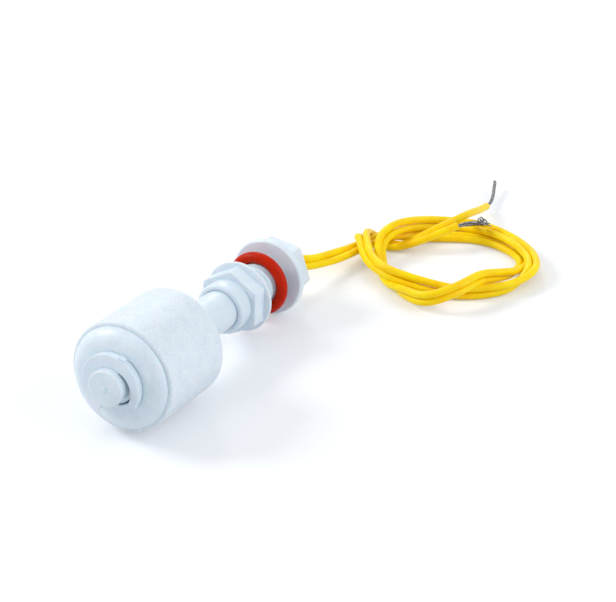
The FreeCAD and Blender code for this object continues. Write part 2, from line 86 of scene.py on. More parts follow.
STEM_FRONT, HEAD_END, FLANGE_RADIUS = measured("stem_body")
CLIP_FRONT, CLIP_REAR, _ = measured("retaining_clip")
SHELL_FRONT, FLOAT_REAR, FLOAT_RADIUS = measured("float_shell")
FLOAT_FRONT = measured("float_cap")[0]
NUT_FRONT, NUT_REAR, NUT_FLANGE_RADIUS = measured("lock_nut")
RING_FRONT, RING_REAR, RING_RADIUS = measured("sealing_ring")
_, PLUG_REAR, PLUG_RADIUS = measured("potting_plug")


# ---------------------------------------------------------------- places and angles

HEAD_CORNER_ANGLE = 68.3
NUT_CORNER_ANGLE = 30.0
MOUTH_CENTRE = 255.0
MOUTH_ANGLE = 76.0
RELIEF_ANGLE = 100.0            # over which the clip widens towards its mouth
RELIEF_CURVE = 0.6
GATE_ANGLE = 113.0
CAP_RADIUS_AT_SEAT = 10.88 * MM
GROOVE_PLAY = 0.05 * MM         # clip to the walls and the floor of its groove
HEAD_OVERHANG = 0.3 * MM        # hexagon past the end face of the solid
HEAD_REAR_ROUNDING = 0.2 * MM
HEXAGON_SOFTENING = 0.14 * MM
HEXAGON_STEPS = 192
NUT_CHAMFER = 0.4 * MM
NUT_OVERLAP = 0.2 * MM          # boss and flange run into the hexagon
NUT_LEAD_IN = 0.5 * MM
THREAD_STEPS = 48               # round one turn
THREAD_GAP = 0.4 * MM           # last turn to the flange
THREAD_SINK = 0.05 * MM         # ridge below the stem's surface
GATE_WIDTH = 1.3 * MM
GATE_HEIGHT = 0.8 * MM
GATE_SHARE = 0.7                # of the clip's thickness
PLUG_SHOWN = 4 * MM             # resin behind its face
PLUG_MENISCUS = 0.3 * MM
STRAIGHT_EXIT = 3.5 * MM        # wire that still points along the switch's axis

SEALED = {
    "float_magnet": "ferrite_ring",
    "reed_glass_tube": "switch_glass",
    "reed_blade_front": "reed_alloy",
    "reed_blade_rear": "reed_alloy",
    "reed_sleeve": "shrink_tube",
    "solder_joint_front": "solder_bead",
    "solder_joint_rear": "solder_bead",
    "return_wire_inner": "wire_insulation",
    "short_wire_inner": "wire_insulation",
}

CAMERA_PLACE = Vector((-0.29985, -0.19429, 0.21949))
CAMERA_TURN = 29.31     # degrees from +X towards +Y
CAMERA_DIP = 29.66      # degrees below the horizon
CAMERA_LENS = 116.88

SKY_COLOUR = (0.965, 0.98, 1.0)
SKY_LEVEL = 0.66
FLOOR_GLOW = 0.21
STAGE_MIDDLE = Vector((30 * MM, -12 * MM, 5 * MM))
FLOOR_SIZE = 2.0

# name, place from the middle, width, power, colour
LAMPS = [
    ("key", (-0.22, 0.56, 0.44), 0.26, 2.5, (1.0, 0.99, 0.97)),
    ("fill", (0.10, -0.64, 0.40), 0.6, 2.1, (0.97, 0.985, 1.0)),
    ("back", (0.52, 0.36, 0.44), 0.16, 0.7, (1.0, 0.97, 0.93)),
]

# ---------------------------------------------------------------- the wires' route
#
# Points are millimetres from the middle of the head's end face along the bench (x), across it (y)
# and above the bench (z).

UPPER_LEAD = [(9.3, -1.4, 6.15), (13.8, -2.3, 4.8), (18.6, -3.2, 3.9), (23.3, -4.3, 3.0),
              (27.6, -5.5, 2.75), (31.2, -6.9, 2.8)]
LOWER_LEAD = [(9.2, -2.1, 4.5), (13.6, -3.4, 3.6), (18.1, -4.9, 3.0), (22.9, -6.1, 2.75),
              (27.0, -7.3, 2.7), (30.6, -8.7, 2.8)]

# A turn of the pair, clockwise from above: distance from the coil's middle, height, and the
# angle of the upper wire above the outer side of the lower one.
COIL_PLACE = (28.9, -26.9)
COIL_START = 72.0
COIL_STEP = 24.0
PAIR_OFFSET = 0.9
FIRST_TURN = [(18.9, 2.8, 0), (16.8, 1.0, 0), (16.2, 0.9, 0), (17.6, 0.9, 0), (18.4, 0.9, 0),
              (19.0, 0.9, 0), (15.8, 1.9, 30), (13.2, 3.6, 80), (12.6, 5.0, 90), (16.6, 5.4, 90),
              (20.0, 3.5, 90), (16.2, 2.0, 75), (14.8, 1.0, 5), (15.0, 2.0, 45), (16.6, 5.0, 60)]
SECOND_TURN = [(16.8, 5.4, 60), (18.4, 3.8, 70), (20.6, 2.0, 80), (19.2, 3.1, 15), (19.5, 2.7, 0),
               (19.8, 2.7, 0), (19.6, 3.0, 5), (17.0, 1.9, 65), (13.8, 1.8, 90), (12.2, 1.8, 90),
               (11.6, 2.3, 115), (12.8, 3.1, 110), (16.0, 4.1, 90), (18.0, 3.9, 135),
               (20.8, 4.9, 170)]

UPPER_WRAP = [(30.0, -5.6, 4.6), (32.9, -4.9, 3.1), (34.6, -6.4, 1.2), (33.9, -9.4, 0.9)]
LOWER_WRAP = [(27.2, -4.8, 4.4), (29.8, -4.2, 2.9), (32.2, -5.4, 1.2), (31.9, -8.4, 0.9)]
UPPER_END = [(34.2, -13.4, 1.1), (37.2, -18.4, 4.7), (42.0, -22.3, 6.5), (48.5, -23.2, 5.7),
             (54.6, -22.8, 3.6), (60.3, -22.1, 1.9)]
LOWER_END = [(32.2, -12.4, 1.1), (34.6, -18.4, 3.8), (40.8, -23.6, 5.9)]

STRAND_COUNT = 10
LOWEST_STRAND = 0.3
STRAND_HOOK = [(-0.9, 0.8, 1.5), (-2.3, 0.6, 1.7), (-2.6, -0.2, 0.6)]   # from a strand's end
STRANDS = {
    "wire_upper": ([(59.4, -22.2, 1.85), (61.3, -22.0, 1.7), (64.4, -21.6, 1.3), (68.6, -20.2, 1.6),
                    (72.8, -18.6, 2.2)], 0.25 * MM, 0.8),
    "wire_lower": ([(40.0, -23.0, 5.8), (41.4, -24.3, 6.0), (43.2, -25.7, 6.0), (45.0, -27.1, 5.5),
                    (46.8, -28.5, 4.9)], 1.1 * MM, 2.6),
}


# ---------------------------------------------------------------- sizes and colours

def size(label, value, note):
    return FloatProperty(
        name=label, description=note, default=value * MM, unit="LENGTH", precision=5
    )


def srgb(red, green, blue):
    """Linear colour of an eight-bit screen colour."""
    def linear(value):
        value /= 255
        return value / 12.92 if value <= 0.04045 else ((value + 0.055) / 1.055) ** 2.4
    return linear(red), linear(green), linear(blue)


def colour(label, value, note):
    return FloatVectorProperty(
        name=label, description=note, default=srgb(*value), subtype="COLOR", min=0, max=1
    )


class StemSizes(bpy.types.PropertyGroup):
    radius: size("Stem radius", 4.35, "Plain stem, and the root of the thread")
    tip_radius: size("Tip radius", 3.85, "Disc in front of the clip")
    tip_rounding: size("Tip rounding", 0.35, "Rounding of the stem's tip")
    nub_radius: size("Gate nub radius", 0.5, "Nub in the middle of the tip")
    nub_height: size("Gate nub height", 0.25, "How far the nub stands out")
    thread_radius: size("Thread radius", 4.75, "Over the crests of the thread")
    thread_pitch: size("Thread pitch", 1.5, "From one crest to the next")
    thread_length: size("Thread length", 19.0, "From the flange towards the tip")
    flange_rounding: size("Flange rounding", 0.45, "Rim of the sealing flange")
    flange_length: size("Flange length", 1.9, "Thickness of the sealing flange")
    recess_radius: size("Recess radius", 4.3, "Potting recess in the head")


class ClipSizes(bpy.types.PropertyGroup):
    radius: size("Clip radius", 6.6, "Outside of the open ring")
    relief: size("Relief radius", 5.1, "Inside of the wider horn at its end")
    grip: size("Grip radius", 3.65, "Inside of the ring, in the stem's groove")
    edge: size("Clip edge", 0.22, "Softened edges")


class FloatSizes(bpy.types.PropertyGroup):
    wall: size("Wall", 1.2, "Wall of the shell")
    bore: size("Bore radius", 4.8, "Hole that the stem runs through")
    tube_wall: size("Tube wall", 0.9, "Wall of the tube round the bore")
    rim_rounding: size("Rim rounding", 0.5, "Mouth of the shell")
    rear_rounding: size("Rear rounding", 1.0, "Far end of the shell")
    cap_height: size("Cap height", 2.4, "From the shell's rim to the cap's face")
    cap_shoulder: size("Cap shoulder radius", 10.1, "Where the cap's face would meet its slope")
    cap_rounding: size("Cap rounding", 2.1, "Reach of the cap's rounded shoulder")
    seam: size("Seam", 0.17, "Width of the weld line under the cap")


class NutSizes(bpy.types.PropertyGroup):
    boss_length: size("Boss length", 3.9, "Round boss at the front of the nut")
    boss_radius: size("Boss radius", 5.55, "Round boss at the front of the nut")
    boss_rounding: size("Boss rounding", 0.6, "Front edge of the boss")
    hexagon_length: size("Hexagon length", 3.9, "Spanner flats")
    across_flats: size("Across flats", 12.8, "Spanner size of the nut")
    bore: size("Bore radius", 4.4, "Clear of the stem")
    head_across_flats: size("Head across flats", 12.9, "Spanner size of the head")
    corner_trim: size("Corner trim", 0.05, "Taken off the sharp corners")


class WireSizes(bpy.types.PropertyGroup):
    radius: size("Wire radius", 0.88, "Over the insulation")
    offset: size("Wire offset", 0.96, "Each wire from the switch's axis")
    core_radius: size("Core radius", 0.35, "Bundle of tinned strands")
    strand_radius: size("Strand radius", 0.15, "One tinned strand")


class Finishes(bpy.types.PropertyGroup):
    float_pale: colour("Float, pale", (230, 238, 245), "Pale grains of the foamed float")
    float_deep: colour("Float, deep", (206, 220, 231), "Deeper grains of the foamed float")
    stem_pale: colour("Stem, pale", (224, 235, 244), "Moulded stem, clip and nut")
    stem_deep: colour("Stem, deep", (208, 223, 233), "Thicker places of the mouldings")
    rubber: colour("Sealing ring", (200, 36, 0), "Silicone rubber")
    insulation: colour("Insulation", (255, 228, 0), "Wire insulation")
    insulation_deep: colour("Insulation, deep", (250, 203, 0), "Streaks in the insulation")
    tin: colour("Tinned copper", (150, 150, 152), "Wire strands and solder")
    floor: colour("Floor", (226, 228, 232), "Bench under the switch")


# ---------------------------------------------------------------- shaping helpers

def on_ring(vert, x, radius):
    near = 1e-6
    return abs(vert.co.x - x) < near and abs(math.hypot(vert.co.y, vert.co.z) - radius) < near


def lathe(bm, corners, steps=TURN_STEPS):
    """Turns an outline of (x, radius) or (x, radius, rounding) corners about the X axis.

    An outline that starts and ends on the axis stays open there, and any other is closed.
    """
    made = bmesh.new()
    verts = [made.verts.new((c[0], 0.0, c[1])) for c in corners]
    ends_on_axis = corners[0][1] == 0 and corners[-1][1] == 0
    following = verts[1:] if ends_on_axis else verts[1:] + verts[:1]
    edges = [made.edges.new(pair) for pair in zip(verts, following)]
    bmesh.ops.spin(
        made, geom=verts + edges, cent=(0, 0, 0), axis=(1, 0, 0),
        angle=math.tau, steps=steps, use_merge=True,
    )
    bmesh.ops.remove_doubles(made, verts=made.verts, dist=1e-7)
    for x, radius, rounding in (c for c in corners if len(c) == 3):
        rim = [e for e in made.edges if all(on_ring(v, x, radius) for v in e.verts)]
        bevel(made, rim, rounding, 5)
    bmesh.ops.recalc_face_normals(made, faces=made.faces)
    add(bm, made)


def to_radius(vert, wanted):
    """Moves a vertex straight out from or in to the X axis."""
    factor = wanted / math.hypot(vert.co.y, vert.co.z)
    vert.co.y *= factor
    vert.co.z *= factor


def bevel(bm, edges, width, segments):
    bmesh.ops.bevel(
        bm, geom=edges, offset=width, offset_type="OFFSET", affect="EDGES",
        segments=segments, profile=0.5, material=-1, clamp_overlap=True,
    )


def add(bm, made):
    """Moves one bmesh into another."""
    mesh = bpy.data.meshes.new("part")
    made.to_mesh(mesh)
    made.free()
    bm.from_mesh(mesh)
    bpy.data.meshes.remove(mesh)


def hexagon(bm, front, rear, bore, across_flats, corner_angle, front_chamfer, rear_chamfer,
            trim):
    """Hexagonal ring: a turned ring with rounded-off rims, cut to six flats."""
    corner = across_flats / math.sqrt(3) - trim
    made = bmesh.new()
    outline = [(front, bore), (front, corner, front_chamfer),
               (rear, corner, rear_chamfer), (rear, bore)]
    lathe(made, [c if len(c) == 2 or c[2] else c[:2] for c in outline], HEXAGON_STEPS)
    for k in range(6):
        angle = math.radians(corner_angle + 30 + 60 * k)
        normal = Vector((0, math.cos(angle), math.sin(angle)))
        cut = bmesh.ops.bisect_plane(
            made, geom=made.verts[:] + made.edges[:] + made.faces[:], dist=1e-7,
            plane_co=normal * across_flats / 2, plane_no=normal, clear_outer=True,
        )
        rim = [g for g in cut["geom_cut"] if isinstance(g, bmesh.types.BMEdge)]
        bmesh.ops.holes_fill(made, edges=rim, sides=0)
    bmesh.ops.recalc_face_normals(made, faces=made.faces)
    add(bm, made)


def set_down(name, bm, material, body, nodes, soften=0.0, crease=32):
    """Sets a shaped piece into the frame, with its finish, body and the nodes it stands for."""
    bmesh.ops.transform(bm, matrix=SWITCH, verts=bm.verts)
    for face in bm.faces:
        face.smooth = True
    for edge in bm.edges:
        edge.smooth = edge.calc_face_angle(0.0) < math.radians(crease)
    mesh = bpy.data.meshes.new(name)
    bm.to_mesh(mesh)
    bm.free()
    piece = bpy.data.objects.new(name, mesh)
    bpy.context.scene.collection.objects.link(piece)
    mesh.materials.append(material)
    if soften:
        edge = piece.modifiers.new("soft_edges", "BEVEL")
        edge.width = soften
        edge.segments = 3
        edge.limit_method = "ANGLE"
        edge.angle_limit = math.radians(crease)
        edge.harden_normals = False
    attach(piece, body)
    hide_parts(*nodes)
    return piece


# ---------------------------------------------------------------- shader groups

def node(tree, kind, place=(0, 0), **values):
    made = tree.nodes.new(kind)
    made.location = place
    for key, value in values.items():
        if hasattr(made, key):
            setattr(made, key, value)
        else:
            made.inputs[key.replace("_", " ")].default_value = value
    return made


def start_group(name, inputs, outputs):
    tree = bpy.data.node_groups.new(name, "ShaderNodeTree")
    for label, kind, value in inputs:
        socket = tree.interface.new_socket(label, in_out="INPUT", socket_type=kind)
        if value is not None:
            socket.default_value = value
    for label, kind in outputs:
        tree.interface.new_socket(label, in_out="OUTPUT", socket_type=kind)
    return tree, tree.nodes.new("NodeGroupInput"), tree.nodes.new("NodeGroupOutput")


def mottle_group():
    """Two colours mixed by a coarse and a fine noise, as in a filled or foamed moulding."""
    tree, given, out = start_group(
        "mottle",
        [("Vector", "NodeSocketVector", None), ("Coarse", "NodeSocketFloat", 150.0),
         ("Fine", "NodeSocketFloat", 1200.0), ("Balance", "NodeSocketFloat", 0.5),
         ("Pale", "NodeSocketColor", (1, 1, 1, 1)),
         ("Deep", "NodeSocketColor", (0.5, 0.5, 0.5, 1))],
        [("Color", "NodeSocketColor"), ("Mask", "NodeSocketFloat")],
    )
    link = tree.links.new
    coarse = node(tree, "ShaderNodeTexNoise", Detail=3.0, Roughness=0.55)
    fine = node(tree, "ShaderNodeTexNoise", Detail=4.0, Roughness=0.65)
    both = node(tree, "ShaderNodeMix", data_type="FLOAT")
    spread = node(tree, "ShaderNodeMapRange", From_Min=0.34, From_Max=0.66)
    mix = node(tree, "ShaderNodeMix", data_type="RGBA")
    for noise, scale in ((coarse, "Coarse"), (fine, "Fine")):
        link(given.outputs["Vector"], noise.inputs["Vector"])
        link(given.outputs[scale], noise.inputs["Scale"])
    link(given.outputs["Balance"], both.inputs[0])
    link(coarse.outputs[0], both.inputs[2])
    link(fine.outputs[0], both.inputs[3])
    link(both.outputs[0], spread.inputs["Value"])
    link(spread.outputs[0], mix.inputs[0])
    link(given.outputs["Deep"], mix.inputs[6])
    link(given.outputs["Pale"], mix.inputs[7])
    link(mix.outputs[2], out.inputs["Color"])
    link(spread.outputs[0], out.inputs["Mask"])
    return tree


def grain_group():
    """Height of a fine moulded grain with sparse pits."""
    tree, given, out = start_group(
        "grain",
        [("Vector", "NodeSocketVector", None), ("Scale", "NodeSocketFloat", 1500.0),
         ("Pits", "NodeSocketFloat", 0.2)],
        [("Height", "NodeSocketFloat")],
    )
    link = tree.links.new
    noise = node(tree, "ShaderNodeTexNoise", Detail=5.0, Roughness=0.6)
    cells = node(tree, "ShaderNodeTexVoronoi", feature="F1")
    pit = node(tree, "ShaderNodeMapRange", From_Min=0.0, From_Max=0.25, To_Min=1.0, To_Max=0.0)
    depth = node(tree, "ShaderNodeMath", operation="MULTIPLY")
    height = node(tree, "ShaderNodeMath", operation="SUBTRACT")
    for texture in (noise, cells):
        link(given.outputs["Vector"], texture.inputs["Vector"])
        link(given.outputs["Scale"], texture.inputs["Scale"])
    link(cells.outputs["Distance"], pit.inputs["Value"])
    link(pit.outputs[0], depth.inputs[0])
    link(given.outputs["Pits"], depth.inputs[1])
    link(noise.outputs[0], height.inputs[0])
    link(depth.outputs[0], height.inputs[1])
    link(height.outputs[0], out.inputs["Height"])
    return tree


def finish(name, pale, deep, coarse, fine, grain, depth, roughness, pits=0.2, balance=0.5,
           **shader):
    """A material whose colour is mottled and whose surface has a fine grain.

    coarse, fine and grain are noise scales, and depth is the grain's height in metres.
    """
    material = bpy.data.materials.new(name)
    material.use_nodes = True
    tree = material.node_tree
    link = tree.links.new
    surface = tree.nodes["Principled BSDF"]
    surface.inputs["Roughness"].default_value = roughness
    for key, value in shader.items():
        surface.inputs[key.replace("_", " ")].default_value = value
    place = node(tree, "ShaderNodeTexCoord", (-900, 0))
    mottle = node(tree, "ShaderNodeGroup", (-500, 100), node_tree=bpy.data.node_groups["mottle"])
    for key, value in (("Coarse", coarse), ("Fine", fine), ("Balance", balance),
                       ("Pale", (*pale, 1)), ("Deep", (*deep, 1))):
        mottle.inputs[key].default_value = value
    grains = node(tree, "ShaderNodeGroup", (-500, -200), node_tree=bpy.data.node_groups["grain"])
    grains.inputs["Scale"].default_value = grain
    grains.inputs["Pits"].default_value = pits
    bump = node(tree, "ShaderNodeBump", (-250, -200), Strength=1.0, Distance=depth)
    link(place.outputs["Object"], mottle.inputs["Vector"])
    link(place.outputs["Object"], grains.inputs["Vector"])
    link(mottle.outputs["Color"], surface.inputs["Base Color"])
    link(grains.outputs["Height"], bump.inputs["Height"])
    link(bump.outputs["Normal"], surface.inputs["Normal"])
    return material


def tint(shade, factor):
    return tuple(min(1.0, c * factor) for c in shade)


def settings():
    return bpy.context.scene.float_switch


# ---------------------------------------------------------------- operators

class PrepareFinishes(bpy.types.Operator):
    """Builds the shader groups and every material"""

    bl_idname = "floatswitch.finishes"
    bl_label = "Finishes"

    def execute(self, context):
        looks = settings().finishes
        mottle_group()
        grain_group()
        finish("foamed_float", looks.float_pale, looks.float_deep,
               coarse=420, fine=2600, grain=2600, depth=0.00005, roughness=0.5,
               pits=0.4, balance=0.75, Subsurface_Weight=0.15, Subsurface_Scale=0.001)
        finish("moulded_stem", looks.stem_pale, looks.stem_deep,
               coarse=120, fine=700, grain=900, depth=0.00001, roughness=0.36,
               balance=0.3, Subsurface_Weight=0.25, Subsurface_Scale=0.0015)
        finish("float_cap_plastic", tint(looks.stem_pale, 1.03), looks.stem_deep,
               coarse=120, fine=900, grain=1100, depth=0.00002, roughness=0.38,
               balance=0.4, Subsurface_Weight=0.25, Subsurface_Scale=0.0015)
        finish("silicone_ring", looks.rubber, tint(looks.rubber, 0.8),
               coarse=300, fine=1500, grain=1500, depth=0.000008, roughness=0.36,
               Specular_IOR_Level=0.1)
        finish("wire_insulation", looks.insulation, looks.insulation_deep,
               coarse=180, fine=900, grain=1200, depth=0.000006, roughness=0.36,
               balance=0.25, Specular_IOR_Level=0.2, Subsurface_Weight=0.1,
               Subsurface_Scale=0.0008)
        finish("tinned_strands", looks.tin, tint(looks.tin, 0.3),
               coarse=900, fine=4000, grain=3000, depth=0.00001, roughness=0.28, Metallic=1.0)
        finish("potting_resin", srgb(214, 214, 206), srgb(190, 190, 180),
               coarse=200, fine=900, grain=700, depth=0.00002, roughness=0.22, Coat_Weight=0.3)
        finish("ferrite_ring", srgb(54, 52, 52), srgb(36, 35, 36),
               coarse=300, fine=1800, grain=2200, depth=0.00003, roughness=0.6)
        finish("shrink_tube", srgb(38, 38, 42), srgb(26, 26, 30),
               coarse=200, fine=900, grain=900, depth=0.00001, roughness=0.45)
        finish("reed_alloy", srgb(196, 190, 178), srgb(168, 160, 148),
               coarse=400, fine=2500, grain=2500, depth=0.000005, roughness=0.25, Metallic=1.0)
        finish("solder_bead", srgb(188, 190, 194), srgb(150, 152, 158),
               coarse=400, fine=1500, grain=1200, depth=0.00002, roughness=0.3, Metallic=1.0)
        finish("switch_glass", srgb(205, 226, 214), srgb(188, 214, 200),
               coarse=200, fine=900, grain=600, depth=0.000002, roughness=0.05,
               Transmission_Weight=0.9, IOR=1.5)
        return {"FINISHED"}


class MakeStem(bpy.types.Operator):
    """Stem with its thread, sealing flange and hexagonal head"""

    bl_idname = "floatswitch.stem"
    bl_label = "Stem and head"

    def execute(self, context):
        stem = settings().stem
        nut = settings().nut
        material = bpy.data.materials["moulded_stem"]
        tip = STEM_FRONT + stem.nub_height
        play = GROOVE_PLAY
        hexagon_front = stem.flange_length

        bm = bmesh.new()
        lathe(bm, [
            (tip, 0.0),
            (tip, stem.tip_radius, stem.tip_rounding),
            (CLIP_FRONT - play, stem.tip_radius),
            (CLIP_FRONT - play, settings().clip.grip - play),
            (CLIP_REAR + play, settings().clip.grip - play),
            (CLIP_REAR + play, stem.radius),
            (stem.flange_length / 2, stem.radius),
            (stem.flange_length / 2, 0.0),
        ])
        lathe(bm, [
            (STEM_FRONT, 0.0),
            (STEM_FRONT, stem.nub_radius, stem.nub_height * 0.6),
            (tip + stem.tip_rounding, stem.nub_radius * 1.4),
            (tip + stem.tip_rounding, 0.0),
        ], 48)
        set_down("stem_tube", bm, material, "stem", ["stem_body"])

        bm = bmesh.new()
        self.thread(bm, stem)
        set_down("stem_thread", bm, material, "stem", ["stem_body"], crease=50)

        bm = bmesh.new()
        lathe(bm, [
            (0.0, 0.0),
            (0.0, FLANGE_RADIUS, stem.flange_rounding),
            (hexagon_front, FLANGE_RADIUS, stem.flange_rounding),
            (hexagon_front, 0.0),
        ])
        set_down("head_flange", bm, material, "stem", ["stem_body"])

        bm = bmesh.new()
        hexagon(bm, hexagon_front - play, HEAD_END + HEAD_OVERHANG, stem.recess_radius,
                nut.head_across_flats, HEAD_CORNER_ANGLE, 0.0, HEAD_REAR_ROUNDING,
                nut.corner_trim)
        set_down("head_hexagon", bm, material, "stem", ["stem_body"],
                 soften=HEXAGON_SOFTENING)
        return {"FINISHED"}

    @staticmethod
    def thread(bm, stem):
        """A ridge that climbs round the stem and fades at both ends."""
        turns = stem.thread_length / stem.thread_pitch
        steps = round(turns * THREAD_STEPS)
        start = -THREAD_GAP - stem.thread_length
        root = stem.radius - THREAD_SINK
        half = stem.thread_pitch / 2
        profile = [(-0.78 * half, root), (-0.16 * half, stem.thread_radius),
                   (0.16 * half, stem.thread_radius), (0.78 * half, root)]
        verts = [bm.verts.new((start + x, 0.0, r)) for x, r in profile]
        edges = [bm.edges.new(pair) for pair in zip(verts, verts[1:] + verts[:1])]
        bmesh.ops.spin(
            bm, geom=verts + edges, cent=(0, 0, 0), axis=(1, 0, 0),
            dvec=(stem.thread_length / steps, 0, 0), angle=math.tau * turns, steps=steps,
            use_merge=False,
        )
        run_out = 1.2 * stem.thread_pitch
        for vert in bm.verts:
            radius = math.hypot(vert.co.y, vert.co.z)
            from_end = min(vert.co.x - start, start + stem.thread_length - vert.co.x)
            keep = max(0.0, min(1.0, 0.15 + from_end / run_out))
            to_radius(vert, root + (radius - root) * keep)
        loose_ends = [e for e in bm.edges if e.is_boundary]
        bmesh.ops.holes_fill(bm, edges=loose_ends, sides=0)
        bmesh.ops.recalc_face_normals(bm, faces=bm.faces)


class MakeClip(bpy.types.Operator):
    """Open retaining clip that grips the groove and widens towards one horn"""

    bl_idname = "floatswitch.clip"
    bl_label = "Retaining clip"

    def execute(self, context):
        clip = settings().clip
        bm = bmesh.new()
        first = MOUTH_CENTRE + MOUTH_ANGLE / 2
        sweep = 360 - MOUTH_ANGLE
        corners = [(CLIP_FRONT, clip.grip), (CLIP_FRONT, clip.radius),
                   (CLIP_REAR, clip.radius), (CLIP_REAR, clip.grip)]
        angle = math.radians(first)
        verts = [bm.verts.new((x, r * math.cos(angle), r * math.sin(angle))) for x, r in corners]
        face = bm.faces.new(verts)
        bmesh.ops.spin(
            bm, geom=[face] + verts + list(face.edges), cent=(0, 0, 0), axis=(1, 0, 0),
            angle=math.radians(sweep), steps=round(sweep / 2), use_merge=False,
        )
        for vert in bm.verts:
            if math.hypot(vert.co.y, vert.co.z) > (clip.grip + clip.radius) / 2:
                continue
            turned = (math.degrees(math.atan2(vert.co.z, vert.co.y)) - first) % 360
            if turned > 359.9:  # the first profile, a hair short of a whole turn by rounding
                turned = 0.0
            widening = max(0.0, 1 - (sweep - turned) / RELIEF_ANGLE) ** RELIEF_CURVE
            to_radius(vert, clip.grip + (clip.relief - clip.grip) * widening)
        bmesh.ops.recalc_face_normals(bm, faces=bm.faces)
        gate = bmesh.ops.create_cube(bm, size=1.0)["verts"]
        thickness = CLIP_REAR - CLIP_FRONT
        bmesh.ops.scale(bm, verts=gate, vec=(thickness * GATE_SHARE, GATE_WIDTH, GATE_HEIGHT))
        bmesh.ops.translate(bm, verts=gate, vec=((CLIP_FRONT + CLIP_REAR) / 2, 0, clip.radius))
        bmesh.ops.rotate(
            bm, verts=gate, cent=(0, 0, 0),
            matrix=Matrix.Rotation(math.radians(GATE_ANGLE - 90), 3, "X"),
        )
        set_down("retaining_clip_ring", bm, bpy.data.materials["moulded_stem"], "stem",
                 ["retaining_clip"], soften=clip.edge)
        return {"FINISHED"}


class MakeFloat(bpy.types.Operator):
    """Foamed float with its welded cap"""

    bl_idname = "floatswitch.float"
    bl_label = "Float"

    def execute(self, context):
        sizes = settings().float
        rim = FLOAT_FRONT + sizes.cap_height
        inner = FLOAT_RADIUS - sizes.wall
        tube = sizes.bore + sizes.tube_wall
        bm = bmesh.new()
        lathe(bm, [
            (SHELL_FRONT, sizes.bore),
            (SHELL_FRONT, tube),
            (FLOAT_REAR - sizes.wall, tube),
            (FLOAT_REAR - sizes.wall, inner),
            (rim, inner),
            (rim, FLOAT_RADIUS, sizes.rim_rounding),
            (FLOAT_REAR, FLOAT_RADIUS, sizes.rear_rounding),
            (FLOAT_REAR, sizes.bore, 0.3 * MM),
        ])
        set_down("float_body", bm, bpy.data.materials["foamed_float"], "float",
                 ["float_shell"])

        bm = bmesh.new()
        wall = sizes.wall
        lathe(bm, [
            (FLOAT_FRONT, sizes.bore, 0.25 * MM),
            (FLOAT_FRONT, sizes.cap_shoulder, sizes.cap_rounding),
            (rim - sizes.seam, CAP_RADIUS_AT_SEAT, 0.12 * MM),
            (rim + sizes.seam, CAP_RADIUS_AT_SEAT - 2 * sizes.seam),
            (rim + wall, inner - 0.03 * MM),
            (rim + wall, inner - wall),
            (FLOAT_FRONT + wall, inner - wall),
            (FLOAT_FRONT + wall, sizes.bore),
        ])
        set_down("float_front_cap", bm, bpy.data.materials["float_cap_plastic"], "float",
                 ["float_cap"])
        return {"FINISHED"}


class MakeNut(bpy.types.Operator):
    """Lock nut: round boss, hexagon and thin clamping flange"""

    bl_idname = "floatswitch.nut"
    bl_label = "Lock nut"

    def execute(self, context):
        nut = settings().nut
        hexagon_front = NUT_FRONT + nut.boss_length
        hexagon_rear = hexagon_front + nut.hexagon_length
        bm = bmesh.new()
        lathe(bm, [
            (NUT_FRONT, nut.bore, 0.25 * MM),
            (NUT_FRONT, nut.boss_radius, nut.boss_rounding),
            (hexagon_front + NUT_OVERLAP, nut.boss_radius),
            (hexagon_front + NUT_OVERLAP, nut.bore),
        ])
        flange_thickness = NUT_REAR - hexagon_rear
        lathe(bm, [
            (hexagon_rear, nut.bore),
            (hexagon_rear, NUT_FLANGE_RADIUS, flange_thickness / 3),
            (NUT_REAR, NUT_FLANGE_RADIUS, flange_thickness / 3),
            (NUT_REAR, nut.bore + NUT_LEAD_IN, 0.2 * MM),
            (NUT_REAR - NUT_LEAD_IN, nut.bore),
        ])
        set_down("lock_nut_turned", bm, bpy.data.materials["moulded_stem"], "nut",
                 ["lock_nut"])
        bm = bmesh.new()
        hexagon(bm, hexagon_front, hexagon_rear + NUT_OVERLAP, nut.bore, nut.across_flats,
                NUT_CORNER_ANGLE, NUT_CHAMFER, 0.0, nut.corner_trim)
        set_down("lock_nut_hexagon", bm, bpy.data.materials["moulded_stem"], "nut",
                 ["lock_nut"], soften=HEXAGON_SOFTENING)
        return {"FINISHED"}


class MakeSeals(bpy.types.Operator):
    """Rubber sealing ring and the potting resin in the head"""

    bl_idname = "floatswitch.seals"
    bl_label = "Sealing ring and potting"

    def execute(self, context):
        bm = bmesh.new()
        section = (RING_REAR - RING_FRONT) / 2
        middle = (RING_REAR + RING_FRONT) / 2
        points = 28
        lathe(bm, [
            (middle + section * math.cos(math.tau * k / points),
             RING_RADIUS - section + section * math.sin(math.tau * k / points))
            for k in range(points)
        ], 144)
        set_down("sealing_ring_round", bm, bpy.data.materials["silicone_ring"], "stem",
                 ["sealing_ring"], crease=60)

        bm = bmesh.new()
        lathe(bm, [
            (PLUG_REAR - PLUG_SHOWN, 0.0),
            (PLUG_REAR - PLUG_SHOWN, PLUG_RADIUS),
            (PLUG_REAR + PLUG_MENISCUS * 0.6, PLUG_RADIUS),
            (PLUG_REAR, PLUG_RADIUS - 0.6 * MM, 0.5 * MM),
            (PLUG_REAR - PLUG_MENISCUS * 0.3, 0.0),
        ])
        set_down("potting_face", bm, bpy.data.materials["potting_resin"], "stem",
                 ["potting_plug"])
        return {"FINISHED"}


class FinishSealedPieces(bpy.types.Operator):
    """Gives the sealed inner pieces their finishes"""

    bl_idname = "floatswitch.sealed"
    bl_label = "Sealed inner pieces"

    def execute(self, context):
        for name, material in SEALED.items():
            for entry in frame["nodes"][name].material_slots:
                entry.material = bpy.data.materials[material]
        return {"FINISHED"}


